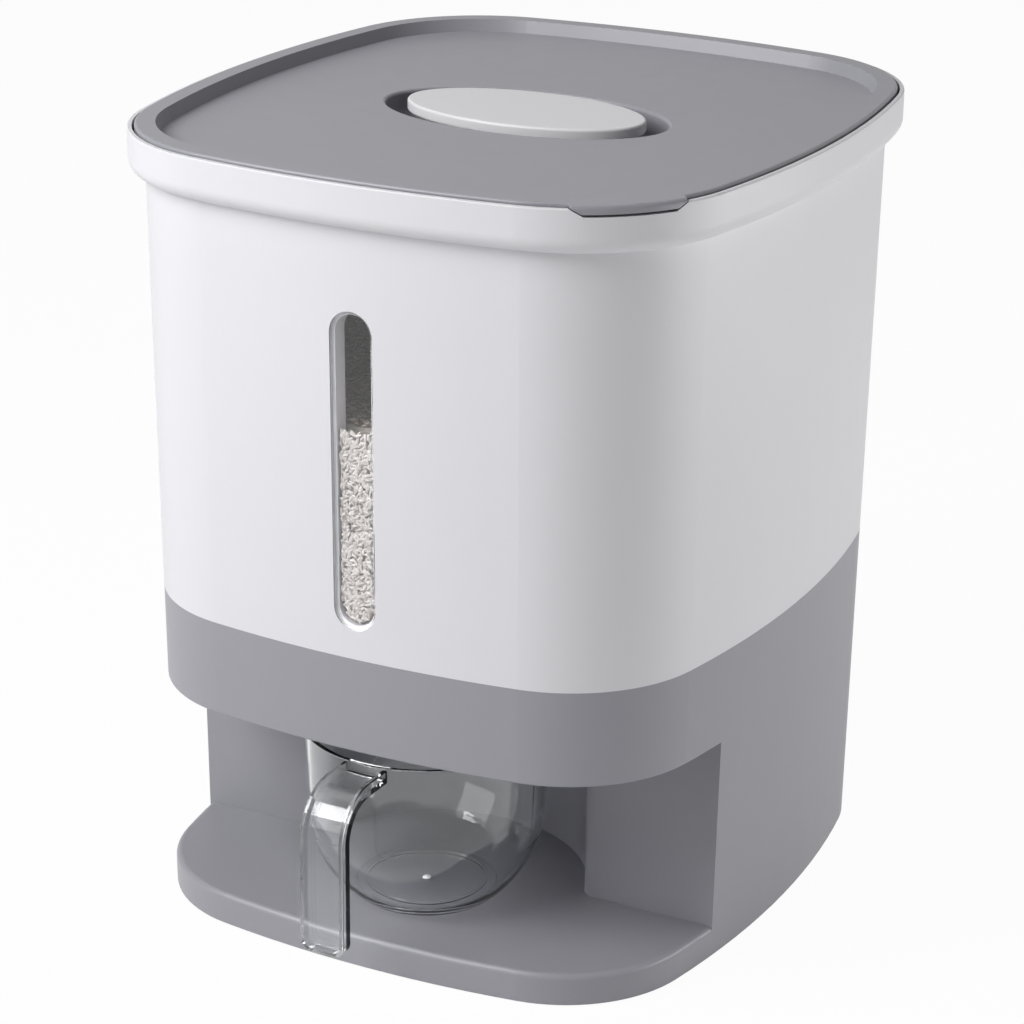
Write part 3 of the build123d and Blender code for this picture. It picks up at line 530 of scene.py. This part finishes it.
# %% [markdown]
# Grains of polished rice are short, plump and slightly pointed, and no two are the same tone. The
# tone is stored on each grain as an attribute, which the material reads, so that a grain keeps
# one colour from end to end.

# %% Rice finish
def rice_finish(name, dark, pale, loose):
    """Polished rice: each grain has its own tone, and chalky patches."""
    recipe = new_recipe(name)
    chalk = recipe.cloud(900.0, 2.0)
    if loose:
        tone = recipe.node("ShaderNodeAttribute", {"attribute_name": "tone"}, output="Fac")
    else:
        tone = recipe.cloud(260.0, 2.0)
    mixed = recipe.blended(tone * 0.8 + chalk * 0.2, dark + (1.0,), pale + (1.0,))
    return recipe.finish(recipe.surface(
        Base_Color=mixed, Roughness=chalk * 0.20 + 0.45, Specular_IOR_Level=0.3,
        Normal=recipe.bump(chalk, 0.00008, 0.4)))


# The rice body's darker tone is painted shade: it stands for the shadowed gaps between the grains that lie
# on it and in front of it.
rice_body_shade_finish = rice_finish("rice_body", (0.30, 0.27, 0.24), (0.44, 0.41, 0.38), False)
# The grains on top get browner, darker tones than the grains at the window: painted shade for the dim
# inside of the closed bin.
rice_top_shade_finish = rice_finish("rice_shaded_loose_grain", (0.31, 0.265, 0.225), (0.53, 0.47, 0.41), True)
rice_grain_finish = rice_finish("rice_grain", (0.37, 0.345, 0.335), (0.57, 0.55, 0.545), True)
rice_body = make_piece("rice_body", bm, rice_body_shade_finish, "body")

# %% Grains
GRAIN_LENGTH, GRAIN_WIDTH = 0.0031, 0.0014
GRAIN_TAPER, GRAIN_FLATNESS = 0.28, 0.86
SEED = 7
rng = random.Random(SEED)


def grain_shape(around, along):
    """One grain at the origin, along X, from a sphere that is drawn out and given points."""
    bm = bmesh.new()
    bmesh.ops.create_uvsphere(bm, u_segments=around, v_segments=along, radius=1.0)
    for vert in bm.verts:
        tip = abs(vert.co.z)
        thin = 1.0 - GRAIN_TAPER * tip ** 3
        vert.co = (vert.co.z * GRAIN_LENGTH / 2, vert.co.x * GRAIN_WIDTH / 2 * thin,
                   vert.co.y * GRAIN_WIDTH / 2 * thin * GRAIN_FLATNESS)
    mesh = bpy.data.meshes.new("grain")
    bm.to_mesh(mesh)
    bm.free()
    mesh.attributes.new("tone", "FLOAT", "POINT")
    return mesh


def pour(name, grain, placements, finish):
    """Copy a grain to each placement and join them in one piece."""
    bm = bmesh.new()
    count = len(grain.vertices)
    for placement in placements:
        grain.attributes["tone"].data.foreach_set("value", [rng.random()] * count)
        grain.transform(placement)
        bm.from_mesh(grain)
        grain.transform(placement.inverted())
    return make_piece(name, bm, finish, "body")


def turned(place, about, axis_angles, size):
    """A placement: a size, a turn about each axis in `about`, then a move."""
    matrix = Matrix.Translation(place)
    for axis, angle in zip(about, axis_angles):
        matrix = matrix @ Matrix.Rotation(angle, 4, axis)
    return matrix @ Matrix.Diagonal((size[0], size[1], size[1], 1.0))


# %% [markdown]
# Loose grains cover the whole poured surface, because it shows when the lid is lifted. They are
# strewn in two pieces, before and behind an arc round the window, so that neither grows too large.

# %% Grains on top
TOP_GRAINS, REAR_GRAINS = 5400, 4500
EDGE_MARGIN = 0.975
FRONT_REACH = 0.135
LENGTH_RANGE, WIDTH_RANGE = (0.80, 1.12), (0.88, 1.10)
LIFT_RANGE = (0.0002, 0.0016)
TOP_TILT, WINDOW_TILT = 0.16, 0.08


def grain_size():
    """How much longer and wider than usual a grain is."""
    return rng.uniform(*LENGTH_RANGE), rng.uniform(*WIDTH_RANGE)


def strew(count, in_front):
    """Placements of grains that lie on the poured surface, before or behind the arc."""
    found = []
    while len(found) < count:
        x, y = rng.uniform(-BIN_HALF_X, BIN_HALF_X), rng.uniform(-BIN_HALF_Y, BIN_HALF_Y)
        offset = Vector((x, y, 0.0)) - OUTLET
        near = math.hypot(x, y + BIN_HALF_Y) < FRONT_REACH
        if near != in_front:
            continue
        if offset.length < room_at(math.atan2(offset.y, offset.x), RICE_TOP) * EDGE_MARGIN:
            place = Vector((x, y, rice_level(x, y) + rng.uniform(*LIFT_RANGE)))
            turns = (rng.uniform(0.0, math.tau), rng.gauss(0.0, TOP_TILT), rng.uniform(0.0, math.tau))
            found.append(turned(place, "ZYX", turns, grain_size()))
    return found


# These grains carry the browner, darker rice tones, painted shade for the closed bin's dim inside.
rice_top_grains = pour("rice_top_grains", grain_shape(6, 4), strew(TOP_GRAINS, True), rice_top_shade_finish)
rice_rear_grains = pour("rice_rear_grains", grain_shape(6, 4), strew(REAR_GRAINS, False), rice_top_shade_finish)

# %% [markdown]
# The window's clear strip sits in a seat with a collar behind it, so the rice that shows is what
# fills the collar. Its back is one closed form: half a disc whose straight side is extruded up to
# the rice's level, and then the whole is extruded backwards. The bin's wall leans, so a shear
# moves the form along with it.

# %% Rice in the window's collar
SLOT_HALF = 0.0071
SLOT_EDGE = 0.00125
WALL_LEAN = 0.0148
FILL_DEPTH, FILL_BACK = 0.0034, 0.0100
FILL_CLEARANCE, FILL_DROP = 0.0001, 0.0015
ON_AXIS = 1e-6
lens_low, lens_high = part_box("window_lens")
slot_foot_z = lens_low[2] + SLOT_EDGE + SLOT_HALF


def lens_back_y(z):
    """Inner face of the window's clear strip, which leans with the bin."""
    return lens_high[1] - WALL_LEAN * (z - lens_low[2])


bm = bmesh.new()
bmesh.ops.create_circle(bm, cap_ends=True, segments=32, radius=SLOT_HALF - FILL_CLEARANCE)
bmesh.ops.bisect_plane(bm, geom=bm.verts[:] + bm.edges[:] + bm.faces[:], plane_co=(0, 0, 0),
                       plane_no=(0, 1, 0), clear_outer=True)
level_edges = [e for e in bm.edges if all(abs(v.co.y) < ON_AXIS for v in e.verts)]
grown = bmesh.ops.extrude_edge_only(bm, edges=level_edges)["geom"]
bmesh.ops.translate(bm, vec=(0.0, RICE_TOP - FILL_DROP - slot_foot_z, 0.0), verts=only_verts(grown))
grown = bmesh.ops.extrude_face_region(bm, geom=bm.faces[:])["geom"]
bmesh.ops.translate(bm, vec=(0.0, 0.0, -FILL_BACK), verts=only_verts(grown))
upright = Matrix.Rotation(math.pi / 2, 4, "X")
upright = Matrix.Translation((0.0, lens_high[1] + FILL_DEPTH, slot_foot_z)) @ upright
lean = Matrix.Identity(4)
lean[1][2], lean[1][3] = -WALL_LEAN, WALL_LEAN * lens_low[2]
bmesh.ops.transform(bm, matrix=lean @ upright, verts=bm.verts)
bmesh.ops.recalc_face_normals(bm, faces=bm.faces)
# This fill takes the rice body's darker tone, painted shade for the gaps between the grains in front of it.
rice_window_fill = make_piece("rice_window_fill", bm, rice_body_shade_finish, "body",
                              smooth=False)

# %% [markdown]
# Against the clear strip the grains lie flat, in a few layers, so what shows is their sides,
# with darker gaps between them. A grain is only placed where all of it fits in the collar.

# %% Grains at the window
WINDOW_GRAINS, WINDOW_LAYERS = 1700, 3
FIRST_LAYER, LAYER_STEP = 0.0010, 0.0007
TURNS_TRIED = 8


def inside_slot(x, z, side_margin, foot_margin):
    """Whether a point keeps its margins from the sides and the round foot of the collar."""
    if z < slot_foot_z:
        return math.hypot(x, z - slot_foot_z) < SLOT_HALF - foot_margin
    return abs(x) < SLOT_HALF - side_margin


placements = []
while len(placements) < WINDOW_GRAINS:
    size = grain_size()
    x, z = rng.uniform(-SLOT_HALF, SLOT_HALF), rng.uniform(slot_foot_z - SLOT_HALF, RICE_TOP)
    half_length, half_width = size[0] * GRAIN_LENGTH / 2, size[1] * GRAIN_WIDTH / 2
    # Near a side only an upright grain fits, so a few turns are tried at each place.
    for turn in [rng.uniform(0.0, math.tau) for _ in range(TURNS_TRIED)]:
        reach = half_length * abs(math.cos(turn)) + half_width * abs(math.sin(turn))
        if inside_slot(x, z, reach, half_length):
            depth = FIRST_LAYER + LAYER_STEP * (len(placements) % WINDOW_LAYERS)
            place = Vector((x, lens_back_y(z) + depth, z))
            turns = (turn, rng.gauss(0.0, WINDOW_TILT), rng.uniform(0.0, math.tau))
            placements.append(turned(place, "YZX", turns, size))
            break
rice_window_grains = pour("rice_window_grains", grain_shape(6, 5), placements, rice_grain_finish)

# %% [markdown]
# ## The cup's moulding point
# Clear mouldings are filled through one point, usually the middle of the base, and it leaves a
# small raised dot there. It is a flattened half of a sphere, standing on the cup's floor.

# %% Moulding point
CUP_AXIS_Y = -0.0740
CUP_FLOOR_TOP = 0.0151
DOT_RADIUS, DOT_HEIGHT = 0.0016, 0.0009

bm = bmesh.new()
bmesh.ops.create_uvsphere(bm, u_segments=24, v_segments=12, radius=DOT_RADIUS)
bmesh.ops.bisect_plane(bm, geom=bm.verts[:] + bm.edges[:] + bm.faces[:], plane_co=(0, 0, 0),
                       plane_no=(0, 0, 1), clear_inner=True)
bmesh.ops.contextual_create(bm, geom=[e for e in bm.edges if e.is_boundary])
bmesh.ops.scale(bm, vec=(1.0, 1.0, DOT_HEIGHT / DOT_RADIUS), verts=bm.verts)
bmesh.ops.translate(bm, vec=(0.0, CUP_AXIS_Y, CUP_FLOOR_TOP), verts=bm.verts)
# The dot's whitish frosted finish is the gate mark's own, and its pale tone also stands in for the bright
# glint on it: partly painted highlight.
cup_moulding_point = make_piece("cup_moulding_point", bm, frosted_glint_plastic, "cup")
